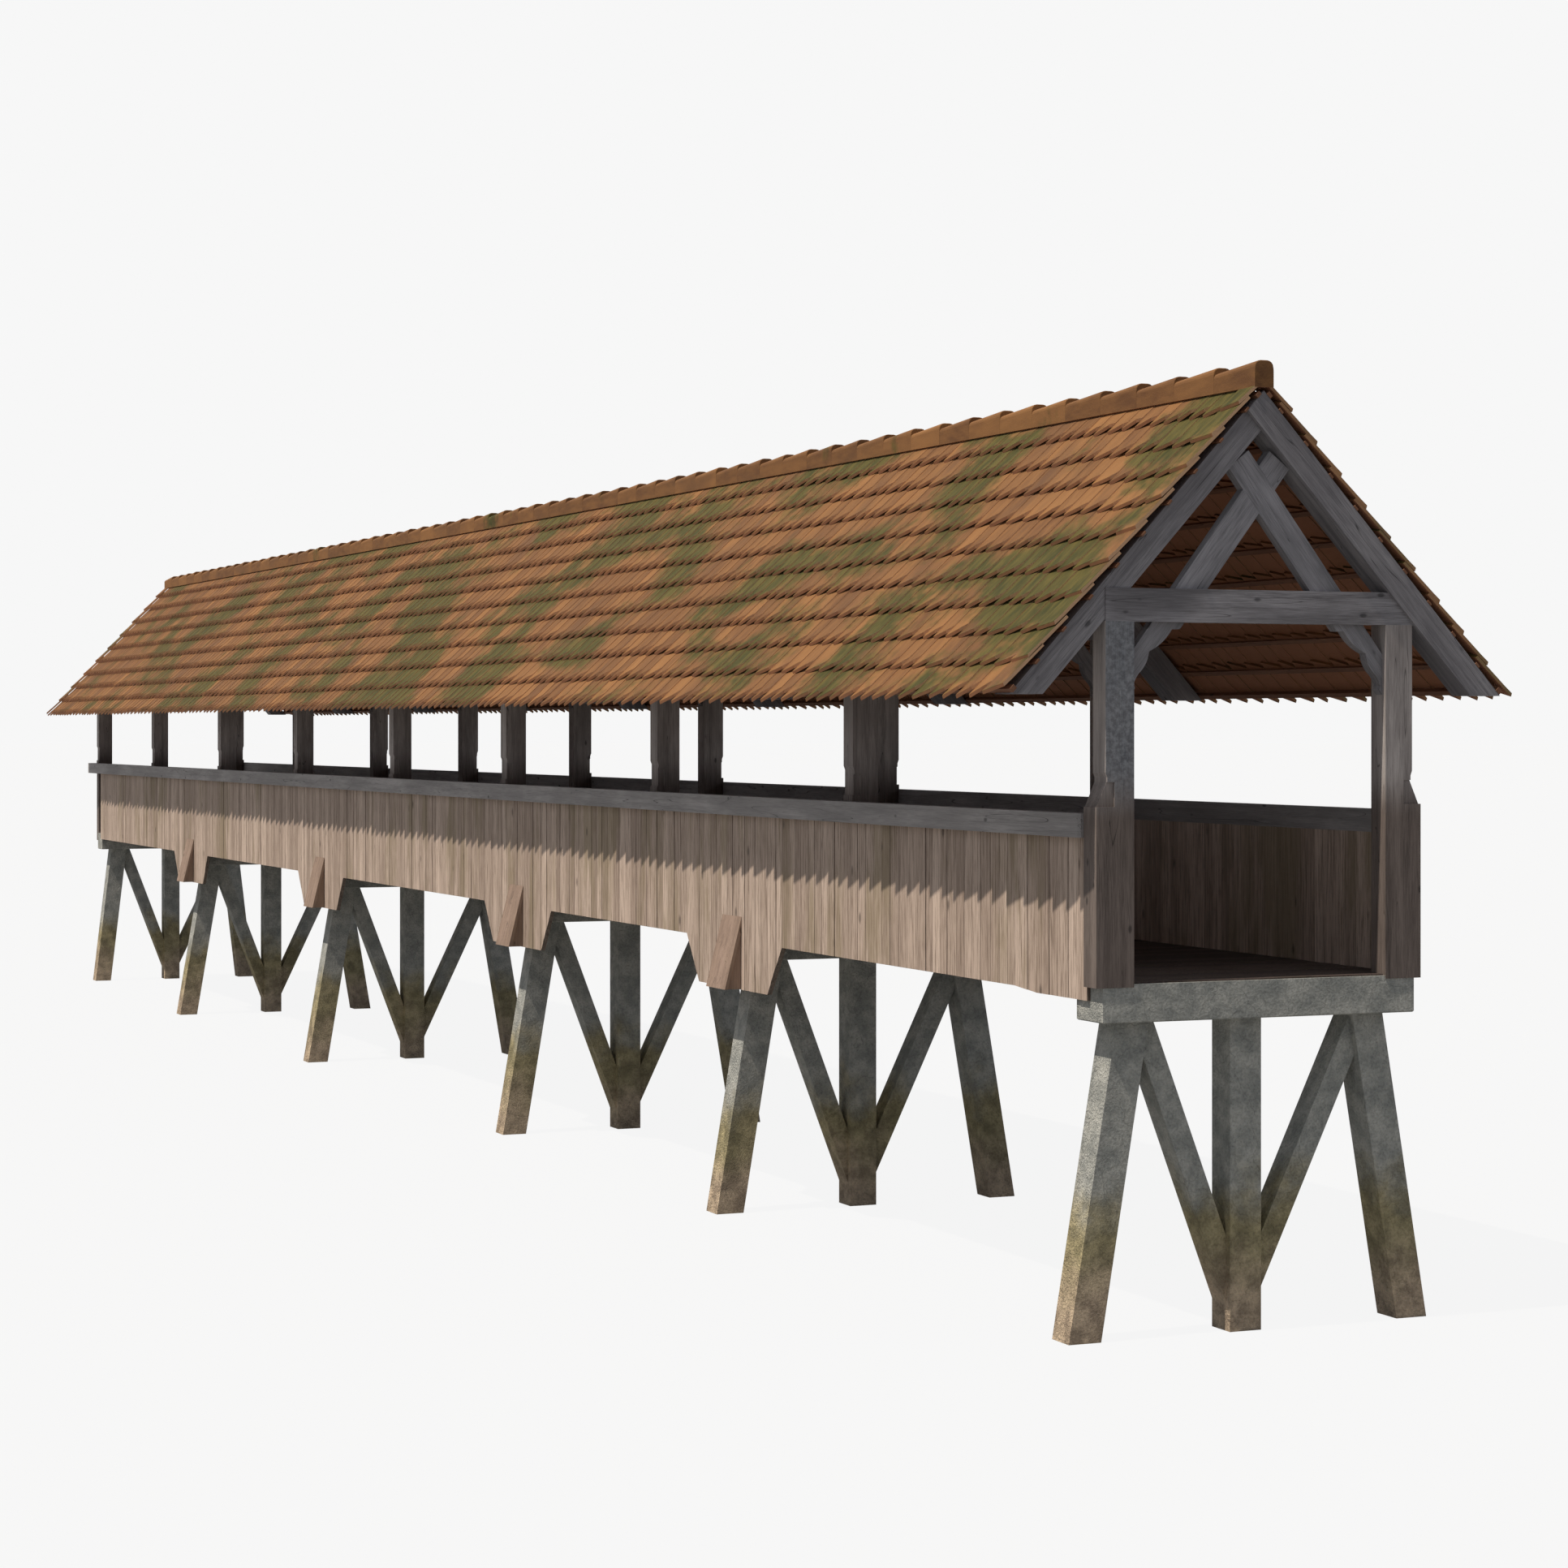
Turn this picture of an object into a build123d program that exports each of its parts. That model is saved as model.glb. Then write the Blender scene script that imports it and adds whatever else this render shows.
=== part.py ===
from build123d import *
from math import cos, radians, sin, tan
import os

os.makedirs("parts", exist_ok=True)

# Run of the bridge along Y: nine timber frames carried by six trestles.
# The drifts say how far each frame or trestle stands from even spacing.
frame_run = 34212
frame_drift = (0, -172, -133, -16, -139, -30, -91, 17, 0)
trestle_drift = (0, -446, -1386, -435, 3, 0)
verge_overhang = 30
far_verge = 240
rail_overrun = 200

# Posts
frame_half = 1190
post_width = 213
post_depth = 179
post_boss = 4
near_post_flare = 70
near_post_slant = 60
far_post_lap = 122
post_housing = 21
recess_depth = 12
recess_slope = 32
recess_above_rail = 242
ledge_height = 46
slant_height = 164
corner_notch_width = 66
corner_notch_depth = 15

# Parapet: handrail, boarded wall and the wedge props over the trestles
rail_top = 3510
rail_height = 161
rail_thickness = 107
rail_chamfer = 18
siding_thickness = 45
siding_bottom = 2293
siding_dip = 27
dip_start = 740
dip_end = 1070
siding_far_gap = 362
haunch_drop = 403
haunch_top = 2140
haunch_slant = 300
prop_width = 430
prop_cheek_inset = 14
prop_board = 30
prop_top = 2500
prop_foot = 1895
prop_lean = 150

# Deck and stringers
deck_top = 2394
deck_thickness = 45
stringer_width = 120
stringer_height = 130
stringer_spacing = 750

# Trestles
cap_bottom = 2126
cap_depth = 368
cap_top = 2382
end_cap_half = 1208
cap_offset = 5
cap_lip = 25
cap_chamfer = 8
leg_width = 242
leg_depth = 240
leg_top_half = 1035
leg_foot_half = 1394
last_foot_half = 1287
centre_leg = -49
bent_depth = 190
bent_width = 158
left_bent_angle = 69.2
left_bent_foot = 194
right_bent_angle = 64.3
right_bent_foot = 226

# Roof frames
tie_bottom = 4783
tie_height = 222
tie_depth = 120
tie_lap = 60
roof_pitch = 47.2
rafter_clearance = 13
rafter_height = 179
rafter_depth = 220
rafter_drop = 483
left_rafter_setback = 10
right_rafter_setback = -25

# Scissor braces: the scallop points are measured from the post and down from the tie beam
brace_pitch = 52.3
brace_width = 195
brace_thickness = 80
brace_setback = 40
brace_clearance = 0.3
brace_shoulder_drop = 204
brace_foot_drop = 477
ledge_drop = 46
ledge_inset = 309
cusp_inset = 134
cusp_drop = 196
lobe_bulge = 18
waist_inset = 58
waist_drop = 342
ogee_bulge = 16
ogee_hollow = 4
neck_inset = 19
neck_drop = 411
tip_inset = 27
tip_drop = 444

# Roof covering
tile_gauge = 290
first_tail = 227
eaves_overhang = 47
tile_step = 22
tile_lap = 60
course_depth = 58
batten_thickness = 15
batten_width = 40
ridge_batten = 30
eaves_batten_inset = 100
ridge_gap = 2
ridge_tile_count = 63
ridge_fall = 40
ridge_bed = 0.02
ridge_half_width = 75
ridge_height = 98
ridge_shoulder = 42
ridge_flat = 42
ridge_fillet = 14

# Places along the bridge, with Y zero in the middle of its whole length
run_start = -verge_overhang
run_end = frame_run + post_depth + rail_overrun
run_middle = (run_start + run_end) / 2


def along(distance):
    return distance - run_middle


def even_places(first, last, drifts):
    step = (last - first) / (len(drifts) - 1)
    return [along(first + step * index + drift) for index, drift in enumerate(drifts)]


def cross_plane(place):
    return Plane(origin=(0, place, 0), x_dir=(1, 0, 0), z_dir=(0, -1, 0))


frame_places = even_places(0, frame_run, frame_drift)
cap_places = even_places(cap_offset, frame_run - cap_depth, trestle_drift)
leg_setback = cap_depth - leg_depth
near_face = along(0)
far_face = along(frame_run)
post_inner = frame_half - post_width
deck_bottom = deck_top - deck_thickness
rail_bottom = rail_top - rail_height
ledge_top = rail_top + ledge_height
sides = (("left", -1), ("right", 1))

# Roof lines shared by the rafters, ties, braces and covering
slope = tan(radians(roof_pitch))
inner_apex = tie_bottom + (frame_half + rafter_clearance) * slope
outer_apex = inner_apex + rafter_height / cos(radians(roof_pitch))
rafter_foot = tie_bottom - rafter_drop
tie_top = tie_bottom + tie_height


def save(part, name):
    part.label = name
    export_step(part, f"parts/{name}.step")


def under_rafter(height):
    return (inner_apex - height) / slope


# Trestles: leaning outer legs, a plumb centre leg, two bent braces and a cap
def leg_points(side, foot_half):
    top = leg_top_half * side
    foot = foot_half * side
    inward = -leg_width * side
    return [(foot, 0), (top, cap_bottom), (top + inward, cap_bottom), (foot + inward, 0)]


def bent_face(side, foot_half):
    """The strip of one bent brace, trimmed to the leg, the cap and the centre leg."""
    post_face = centre_leg + side * leg_width / 2
    angle = radians(left_bent_angle if side < 0 else right_bent_angle)
    foot = left_bent_foot if side < 0 else right_bent_foot
    rise = bent_width / cos(angle)
    reach = (frame_half + foot_half) * side
    climb = abs(reach - post_face) * tan(angle)
    with BuildSketch() as face:
        Polygon(
            (post_face, foot),
            (reach, foot + climb),
            (reach, foot + climb + rise),
            (post_face, foot + rise),
            align=None,
        )
        inner_top = (leg_top_half - leg_width) * side
        inner_foot = (foot_half - leg_width) * side
        Polygon(
            (post_face, 0),
            (inner_foot, 0),
            (inner_top, cap_bottom),
            (post_face, cap_bottom),
            align=None,
            mode=Mode.INTERSECT,
        )
    return face.sketch


for index, place in enumerate(cap_places):
    number = index + 1
    is_end = index in (0, len(cap_places) - 1)
    foot_half = last_foot_half if index == len(cap_places) - 1 else leg_foot_half
    cap_half = end_cap_half if is_end else frame_half
    with BuildPart() as cap:
        with BuildSketch(Plane.XY.offset(cap_bottom)):
            with Locations((0, place + cap_depth / 2)):
                Rectangle(2 * cap_half, cap_depth)
        extrude(amount=(cap_top if is_end else deck_bottom) - cap_bottom)
        chamfer(cap.faces().sort_by(Axis.Z)[0].edges(), cap_chamfer)
        if is_end:
            housing = cap_depth - cap_lip
            housing_middle = place + (cap_lip if index == 0 else 0) + housing / 2
            with BuildSketch(Plane.XY.offset(deck_bottom)):
                with Locations((0, housing_middle)):
                    Rectangle(2 * frame_half, housing)
            extrude(amount=cap_top - deck_bottom, mode=Mode.SUBTRACT)
        if index == 0:
            with BuildSketch(Plane.XY.offset(cap_top - post_housing)):
                for side in (-1, 1):
                    with Locations((side * (post_inner + end_cap_half) / 2, near_face + post_depth / 2)):
                        Rectangle(end_cap_half - post_inner, post_depth)
            extrude(amount=post_housing, mode=Mode.SUBTRACT)
    save(cap.part, f"cap_{number}")

    with BuildPart() as legs:
        with BuildSketch(cross_plane(place + leg_setback)):
            for side in (-1, 1):
                Polygon(*leg_points(side, foot_half), align=None)
            with Locations((centre_leg, cap_bottom / 2)):
                Rectangle(leg_width, cap_bottom)
        extrude(amount=-leg_depth)
    save(legs.part, f"legs_{number}")

    with BuildPart() as bents:
        with BuildSketch(cross_plane(place + cap_depth - bent_depth)):
            for side in (-1, 1):
                add(bent_face(side, foot_half))
        extrude(amount=-bent_depth)
    save(bents.part, f"bent_braces_{number}")

# Stringers butt on the caps and carry the planks between them
with BuildPart() as stringers:
    for start, end in zip(cap_places[:-1], cap_places[1:]):
        span = end - start - cap_depth
        with BuildSketch(cross_plane(start + cap_depth)):
            with GridLocations(stringer_spacing, 0, 3, 1):
                with Locations((0, deck_bottom - stringer_height / 2)):
                    Rectangle(stringer_width, stringer_height)
        extrude(amount=-span)
save(stringers.part, "stringers")

# The deck lies in the end caps' housings and is cut round the first pair of posts
with BuildPart() as deck:
    deck_start = cap_places[0] + cap_lip
    deck_end = far_face - cap_lip
    with BuildSketch(Plane.XY.offset(deck_bottom)):
        with Locations((0, (deck_start + deck_end) / 2)):
            Rectangle(2 * frame_half, deck_end - deck_start)
        for side in (-1, 1):
            with Locations((side * (post_inner + frame_half) / 2, near_face + post_depth / 2)):
                Rectangle(post_width, post_depth, mode=Mode.SUBTRACT)
    extrude(amount=deck_thickness)
save(deck.part, "deck")


# Boarded walls, a little deeper at the near end, with a haunch under them over each middle trestle
siding_start = near_face + post_depth
siding_end = far_face - siding_far_gap
siding_points = (
    (siding_start, rail_bottom),
    (siding_start, siding_bottom - siding_dip),
    (siding_start + dip_start, siding_bottom - siding_dip),
    (siding_start + dip_end, siding_bottom),
    (siding_end, siding_bottom),
    (siding_end, rail_bottom),
)
haunch_half = haunch_top / 2
haunch_foot_half = haunch_half - haunch_slant

for name, side in sides:
    with BuildPart() as siding:
        with BuildSketch(Plane.YZ.offset(side * frame_half)):
            Polygon(*siding_points, align=None)
        extrude(amount=side * siding_thickness)
        for place in (cap_places[0], cap_places[-1]):
            with BuildSketch(Plane.YZ.offset(side * frame_half)):
                with Locations((place + cap_depth / 2, (cap_bottom + cap_top) / 2)):
                    Rectangle(cap_depth, cap_top - cap_bottom)
            extrude(amount=side * (end_cap_half - frame_half), mode=Mode.SUBTRACT)
    save(siding.part, f"siding_{name}")

    with BuildPart() as haunches:
        for place in cap_places[1:-1]:
            middle = place + cap_depth / 2
            with BuildSketch(Plane.YZ.offset(side * frame_half)):
                Polygon(
                    (middle - haunch_half, siding_bottom),
                    (middle - haunch_foot_half, siding_bottom - haunch_drop),
                    (middle + haunch_foot_half, siding_bottom - haunch_drop),
                    (middle + haunch_half, siding_bottom),
                    align=None,
                )
            extrude(amount=side * siding_thickness)
    save(haunches.part, f"haunches_{name}")

    # A wedge prop: a leaning board over a closed three-cornered box
    face = side * (frame_half + siding_thickness)
    lean = prop_lean / (prop_top - prop_foot)
    with BuildPart() as props:
        for place in cap_places[1:-1]:
            middle = place + cap_depth / 2
            with BuildSketch(cross_plane(middle - prop_width / 2)):
                Polygon(
                    (face, prop_top),
                    (face + side * prop_lean, prop_foot),
                    (face + side * (prop_lean - prop_board), prop_foot),
                    (face, prop_top - prop_board / lean),
                    align=None,
                )
            extrude(amount=-prop_width)
            with BuildSketch(cross_plane(middle - prop_width / 2 + prop_cheek_inset)):
                Polygon((face, prop_top), (face + side * prop_lean, prop_foot), (face, prop_foot), align=None)
            extrude(amount=-(prop_width - 2 * prop_cheek_inset))
    save(props.part, f"wedge_props_{name}")

    with BuildPart() as rail:
        rail_start = near_face + post_depth
        with BuildSketch(cross_plane(rail_start)):
            with Locations((side * (frame_half + rail_thickness / 2), rail_top - rail_height / 2)):
                Rectangle(rail_thickness, rail_height)
        extrude(amount=-(along(run_end) - rail_start))
        outer_edges = rail.faces().sort_by(Axis.X)[0 if side < 0 else -1].edges()
        chamfer(outer_edges.filter_by(Axis.Z), rail_chamfer)
    save(rail.part, f"rail_{name}")


# Posts: recessed above the rail, and flared below it in the first frame
def post_points(side, position):
    recessed = frame_half - recess_depth
    recess_top = rail_top + recess_above_rail
    upper = [
        (recessed, recess_top),
        (frame_half, recess_top + recess_slope),
        (frame_half, tie_bottom),
        (post_inner, tie_bottom),
    ]
    if position == "first":
        flared = frame_half + near_post_flare
        lower = [
            (post_inner, cap_top - post_housing),
            (flared, cap_top - post_housing),
            (flared, ledge_top),
            (frame_half + near_post_slant, ledge_top),
            (recessed, ledge_top + slant_height),
        ]
    elif position == "last":
        lower = [(post_inner, cap_top - far_post_lap), (frame_half, cap_top - far_post_lap)]
    else:
        lower = [(post_inner, deck_top), (frame_half, deck_top)]
    if position != "first":
        lower += [
            (frame_half, rail_top),
            (frame_half + post_boss, rail_top),
            (frame_half + post_boss, ledge_top),
            (recessed, ledge_top),
        ]
    return [(side * x, z) for x, z in lower + upper]


for name, side in sides:
    with BuildPart() as posts:
        for index, place in enumerate(frame_places):
            position = {0: "first", len(frame_places) - 1: "last"}.get(index, "middle")
            with BuildSketch(cross_plane(place)):
                Polygon(*post_points(side, position), align=None)
            extrude(amount=-post_depth)
            notch_inner = frame_half - corner_notch_width
            notch_outer = frame_half + near_post_flare
            with BuildSketch(cross_plane(place)):
                with Locations((side * (notch_inner + notch_outer) / 2, ledge_top + slant_height / 2)):
                    Rectangle(notch_outer - notch_inner, slant_height)
            extrude(amount=-corner_notch_depth, mode=Mode.SUBTRACT)
    save(posts.part, f"posts_{name}")


# Rafters: the right one runs through to the apex and the left one butts under it
def rafter_face(side):
    apex_reach = (outer_apex - inner_apex) / (2 * slope)
    through = (-apex_reach, outer_apex - apex_reach * slope)
    outer_foot = (side * (outer_apex - rafter_foot) / slope, rafter_foot)
    inner_foot = (side * under_rafter(rafter_foot), rafter_foot)
    head = (0, outer_apex) if side > 0 else (0, inner_apex)
    points = [head, outer_foot, inner_foot, through] if side > 0 else [through, head, inner_foot, outer_foot]
    with BuildSketch() as face:
        Polygon(*points, align=None)
    return face.sketch


left_rafter = rafter_face(-1)
right_rafter = rafter_face(1)


def tie_face():
    with BuildSketch() as face:
        Polygon(
            (-frame_half, tie_bottom),
            (under_rafter(tie_bottom), tie_bottom),
            (under_rafter(tie_top), tie_top),
            (-frame_half, tie_top),
            align=None,
        )
    return face.sketch


def brace_face(side):
    """One scissor brace with its scalloped lower edge, drawn for the left and turned by side."""
    rise = sin(radians(brace_pitch))
    reach = cos(radians(brace_pitch))
    shoulder = Vector(-post_inner, tie_bottom - brace_shoulder_drop)
    across = Vector(rise, -reach) * brace_width
    lower = shoulder + across
    steep = rise / reach
    tip_x = (inner_apex - lower.Y + steep * lower.X) / (steep + slope)
    lower_end = Vector(tip_x, inner_apex - slope * tip_x - brace_clearance)
    upper_end = lower_end - across
    ledge_z = tie_bottom - ledge_drop
    ledge_start = Vector(lower.X + (ledge_z - lower.Y) / steep, ledge_z)

    def place(inset, drop):
        return Vector(-post_inner + inset, tie_bottom - drop)

    def bulge(start, end, height):
        chord = end - start
        normal = Vector(-chord.Y, chord.X).normalized()
        return (start + end) / 2 + normal * height

    def turned(point):
        return (side * -point.X, point.Y)

    ledge_end = place(ledge_inset, ledge_drop)
    cusp = place(cusp_inset, cusp_drop)
    waist = place(waist_inset, waist_drop)
    neck = place(neck_inset, neck_drop)
    with BuildSketch() as face:
        with BuildLine():
            Polyline(
                turned(place(0, brace_foot_drop)),
                turned(shoulder),
                turned(upper_end),
                turned(lower_end),
                turned(ledge_start),
                turned(ledge_end),
            )
            ThreePointArc(turned(ledge_end), turned(bulge(ledge_end, cusp, lobe_bulge)), turned(cusp))
            ThreePointArc(turned(cusp), turned(bulge(cusp, waist, ogee_bulge)), turned(waist))
            ThreePointArc(turned(waist), turned(bulge(waist, neck, -ogee_hollow)), turned(neck))
            Polyline(turned(neck), turned(place(tip_inset, tip_drop)), turned(place(0, brace_foot_drop)))
        make_face()
        for rafter in (left_rafter, right_rafter):
            add(rafter, mode=Mode.SUBTRACT)
    return face.sketch


tie_beam = tie_face()
left_brace = brace_face(-1)
right_brace = brace_face(1)
brace_half = brace_thickness / 2

with BuildPart() as rafters_left:
    for place in frame_places:
        with BuildSketch(cross_plane(place + left_rafter_setback)):
            add(left_rafter)
        extrude(amount=-rafter_depth)
        with BuildSketch(cross_plane(place)):
            add(tie_beam)
        extrude(amount=-tie_lap, mode=Mode.SUBTRACT)
save(rafters_left.part, "rafters_left")

with BuildPart() as rafters_right:
    for place in frame_places:
        with BuildSketch(cross_plane(place + right_rafter_setback)):
            add(right_rafter)
        extrude(amount=-rafter_depth)
save(rafters_right.part, "rafters_right")

# Tie beams lap over the left rafters and house the braces in their back faces
with BuildPart() as tie_beams:
    for place in frame_places:
        with BuildSketch(cross_plane(place)):
            add(tie_beam)
        extrude(amount=-tie_depth)
        with BuildSketch(cross_plane(place + tie_lap)):
            add(left_rafter)
        extrude(amount=-(tie_depth - tie_lap), mode=Mode.SUBTRACT)
        with BuildSketch(cross_plane(place + brace_setback)):
            add(left_brace)
            add(right_brace)
        extrude(amount=-brace_thickness, mode=Mode.SUBTRACT)
save(tie_beams.part, "tie_beams")

# The braces are halved where they cross, the right one in front
with BuildPart() as braces_left:
    for place in frame_places:
        with BuildSketch(cross_plane(place + brace_setback)):
            add(left_brace)
        extrude(amount=-brace_thickness)
        with BuildSketch(cross_plane(place + brace_setback)):
            add(right_brace)
        extrude(amount=-brace_half, mode=Mode.SUBTRACT)
save(braces_left.part, "scissor_braces_left")

with BuildPart() as braces_right:
    for place in frame_places:
        with BuildSketch(cross_plane(place + brace_setback)):
            add(right_brace)
        extrude(amount=-brace_thickness)
        with BuildSketch(cross_plane(place + brace_setback + brace_half)):
            add(left_brace)
        extrude(amount=-brace_half, mode=Mode.SUBTRACT)
save(braces_right.part, "scissor_braces_right")

# Roof covering, drawn down the slope from the apex and square to it
verge_start = along(-verge_overhang)
roof_length = frame_run + far_verge + verge_overhang
slope_length = (outer_apex - rafter_foot) / sin(radians(roof_pitch))
course_count = 1 + round((slope_length + eaves_overhang - first_tail) / tile_gauge)
course_gauge = (slope_length + eaves_overhang - first_tail) / (course_count - 1)
tile_reach = course_gauge + tile_lap
tail_top = batten_thickness + tile_step * tile_reach / course_gauge + course_depth


def on_slope(side, down, above):
    x = down * cos(radians(roof_pitch)) + above * sin(radians(roof_pitch))
    z = outer_apex + above * cos(radians(roof_pitch)) - down * sin(radians(roof_pitch))
    return (side * x, z)


def tail(course):
    return first_tail + course * course_gauge


def fall(distance):
    return tile_step * distance / course_gauge


def course_points(side):
    beyond = first_tail + course_gauge
    points = [on_slope(side, first_tail - beyond, tail_top - fall(beyond))]
    for course in range(course_count - 1):
        points.append(on_slope(side, tail(course), tail_top))
        points.append(on_slope(side, tail(course), tail_top - tile_step))
    under = tail_top - course_depth
    points.append(on_slope(side, tail(course_count - 1), tail_top))
    points.append(on_slope(side, tail(course_count - 1), under))
    for course in range(course_count - 1, 0, -1):
        head = tail(course) - tile_reach
        points.append(on_slope(side, head, under - fall(tile_reach)))
        points.append(on_slope(side, head, under - fall(tile_lap)))
    points.append(on_slope(side, first_tail - beyond, under - fall(beyond)))
    return points


def batten_points(side, down, course):
    thickness = tail_top - course_depth - fall(tail(course) - down)
    corners = ((down, 0), (down + batten_width, 0), (down + batten_width, thickness), (down, thickness))
    return [on_slope(side, distance, above) for distance, above in corners]


for name, side in sides:
    with BuildPart() as battens:
        with BuildSketch(cross_plane(verge_start)):
            Polygon(*batten_points(side, ridge_batten, 0), align=None)
            for course in range(1, course_count):
                Polygon(*batten_points(side, tail(course) - tile_reach, course), align=None)
            eaves_batten = tail(course_count - 1) - eaves_batten_inset
            Polygon(*batten_points(side, eaves_batten, course_count - 1), align=None)
        extrude(amount=-roof_length)
    save(battens.part, f"battens_{name}")

    with BuildPart() as tiles:
        with BuildSketch(cross_plane(verge_start)):
            Polygon(*course_points(side), align=None)
            with Locations((side * (ridge_gap / 2 - frame_half / 2), outer_apex)):
                Rectangle(frame_half, 2 * frame_half, mode=Mode.SUBTRACT)
        extrude(amount=-roof_length)
    save(tiles.part, f"roof_tiles_{name}")

# Ridge: each tile falls from its near end to its far end and is bedded on the two top courses
low = on_slope(1, first_tail, tail_top)
high = on_slope(1, first_tail - course_gauge, tail_top - tile_step)
seat_slope = (high[1] - low[1]) / (low[0] - high[0])
seat_middle = low[1] + seat_slope * low[0] + ridge_bed
seat_edge = seat_middle - seat_slope * ridge_half_width
ridge_length = roof_length / ridge_tile_count

with BuildSketch() as ridge_profile:
    Polygon(
        (-ridge_half_width, seat_edge),
        (ridge_half_width, seat_edge),
        (ridge_half_width, seat_middle + ridge_shoulder),
        (ridge_flat, seat_middle + ridge_height),
        (-ridge_flat, seat_middle + ridge_height),
        (-ridge_half_width, seat_middle + ridge_shoulder),
        align=None,
    )
    for corners in ridge_profile.vertices().group_by(Axis.Y)[-2:]:
        fillet(corners, ridge_fillet)

with BuildPart() as ridge:
    near_ends = [cross_plane(verge_start + index * ridge_length) for index in range(ridge_tile_count)]
    with BuildSketch(*near_ends):
        add(ridge_profile.sketch)
    downhill = Vector(0, ridge_length, -ridge_fall)
    extrude(amount=downhill.length, dir=downhill)
    with BuildSketch(cross_plane(verge_start)):
        Polygon(
            (-ridge_half_width, seat_edge),
            (0, seat_middle),
            (ridge_half_width, seat_edge),
            (ridge_half_width, seat_edge - 2 * ridge_height),
            (-ridge_half_width, seat_edge - 2 * ridge_height),
            align=None,
        )
    extrude(amount=-roof_length, mode=Mode.SUBTRACT)
save(ridge.part, "ridge_tiles")
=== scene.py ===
import random
from math import cos, radians, sin

import bpy
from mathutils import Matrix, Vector


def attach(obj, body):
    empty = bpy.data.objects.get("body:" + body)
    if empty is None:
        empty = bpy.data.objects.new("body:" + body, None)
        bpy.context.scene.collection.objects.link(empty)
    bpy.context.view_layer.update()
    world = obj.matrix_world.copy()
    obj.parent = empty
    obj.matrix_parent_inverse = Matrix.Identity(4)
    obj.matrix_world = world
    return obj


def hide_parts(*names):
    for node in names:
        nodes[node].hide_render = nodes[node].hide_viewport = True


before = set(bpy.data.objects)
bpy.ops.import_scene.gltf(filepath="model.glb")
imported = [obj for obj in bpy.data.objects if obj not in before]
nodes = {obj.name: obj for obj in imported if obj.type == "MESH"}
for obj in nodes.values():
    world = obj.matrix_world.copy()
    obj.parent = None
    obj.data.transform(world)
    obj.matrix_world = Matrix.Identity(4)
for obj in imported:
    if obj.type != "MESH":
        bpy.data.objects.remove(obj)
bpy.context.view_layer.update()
chance = random.Random(11)

# Shared by several pieces: metres, and angles from level
verge = {"near": -17.3105, "far": 17.1715}
roofPitch = 47.2
bracePitch = 52.3
apexHeight = 6.3456
wallFace = 1.190
wallThickness = 0.045
hair = 1e-4  # smaller than any detail, to pick edges by their place


def srgbToLinear(text):
    parts = [int(text[i:i + 2], 16) / 255 for i in (1, 3, 5)]
    return [p / 12.92 if p <= 0.04045 else ((p + 0.055) / 1.055) ** 2.4 for p in parts] + [1.0]


def addNode(tree, kind, settings=None, links=None):
    node = tree.nodes.new(kind)
    for key, value in (settings or {}).items():
        if isinstance(key, int) or key in node.inputs:
            node.inputs[key].default_value = value
        else:
            setattr(node, key, value)
    for socket, source in (links or {}).items():
        tree.links.new(source, node.inputs[socket])
    return node


def newMaterial(name, roughness):
    material = bpy.data.materials.new(name)
    material.use_nodes = True
    tree = material.node_tree
    shader = tree.nodes["Principled BSDF"]
    shader.inputs["Roughness"].default_value = roughness
    shader.inputs["Specular IOR Level"].default_value = 0.25  # dry and dusty, with hardly any gloss
    place = addNode(tree, "ShaderNodeTexCoord").outputs["Object"]
    return material, tree, shader, place


# Weathered softwood: long grain, drying cracks and a few knots. Widths in metres across the grain, which is
# drawn coarser than real growth rings so that it shows.
timberLook = {
    "roughness": 0.82,
    "grainWidth": 0.007,
    "streakWidth": 0.050,
    "patchSize": 0.28,
    "grainStretch": 0.045,
    "patchStretch": 0.30,
    "grainShare": 0.55,
    "crackSpacing": 0.090,
    "crackLevel": 0.56,  # the value of the pattern that turns into cracks
    "knotSpacing": 0.17,
    "knotStretch": 0.5,
    "markTone": 0.38,
    "bumpDepth": 0.002,
}


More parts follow.
